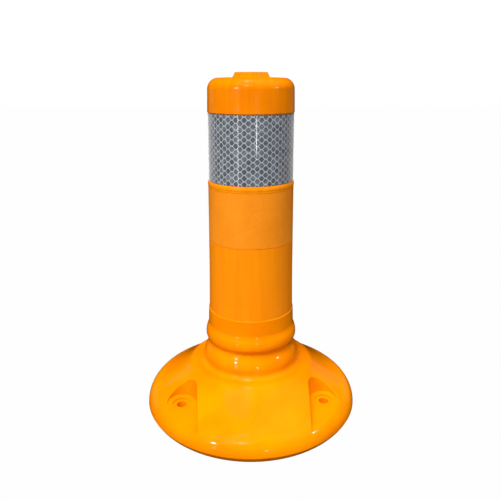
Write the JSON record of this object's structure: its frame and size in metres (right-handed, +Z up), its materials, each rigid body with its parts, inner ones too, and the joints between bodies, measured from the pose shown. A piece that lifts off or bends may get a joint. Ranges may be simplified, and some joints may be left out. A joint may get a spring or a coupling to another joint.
{
  "type": "flexible delineator post",
  "caption": "Flexible orange road delineator: round tube with a silver reflective band and plug cap on a springy ribbed neck and a domed bolt-down base.",
  "frame": {"origin": "centre of the base's underside, on the ground", "axes": "+Z up along the post, -Y is the front: the two front bolt pockets open towards -Y, the third towards +Y"},
  "size_m": [0.2, 0.2, 0.32],
  "materials": {
    "base_plastic": "glossy moulded polyurethane, yellow-orange",
    "neck_plastic": "glossy moulded polyurethane, orange",
    "tube_plastic": "smooth semi-gloss polyurethane, orange",
    "silver_film": "silver honeycomb retroreflective film",
    "orange_film": "satin orange film",
    "cap_plastic": "glossy moulded plastic, orange"
  },
  "bodies": {
    "base": {"base": "base_plastic"},
    "neck": {"neck_bellows": "neck_plastic"},
    "post": {"neck_collar": "neck_plastic", "post_tube": "tube_plastic", "silver_band": "silver_film", "orange_band": "orange_film", "top_cap": "cap_plastic"}
  },
  "joints": [
    {"name": "neck_bend_x", "type": "hinge", "parent": "base", "child": "neck", "pos_m": [0, 0, 0.07], "axis": [1, 0, 0], "range_deg": [-30, 30], "stiffness_Nm_per_rad": 25, "deforming": ["neck_bellows"]},
    {"name": "neck_bend_y", "type": "hinge", "parent": "neck", "child": "post", "pos_m": [0, 0, 0.07], "axis": [0, 1, 0], "range_deg": [-30, 30], "stiffness_Nm_per_rad": 25}
  ]
}
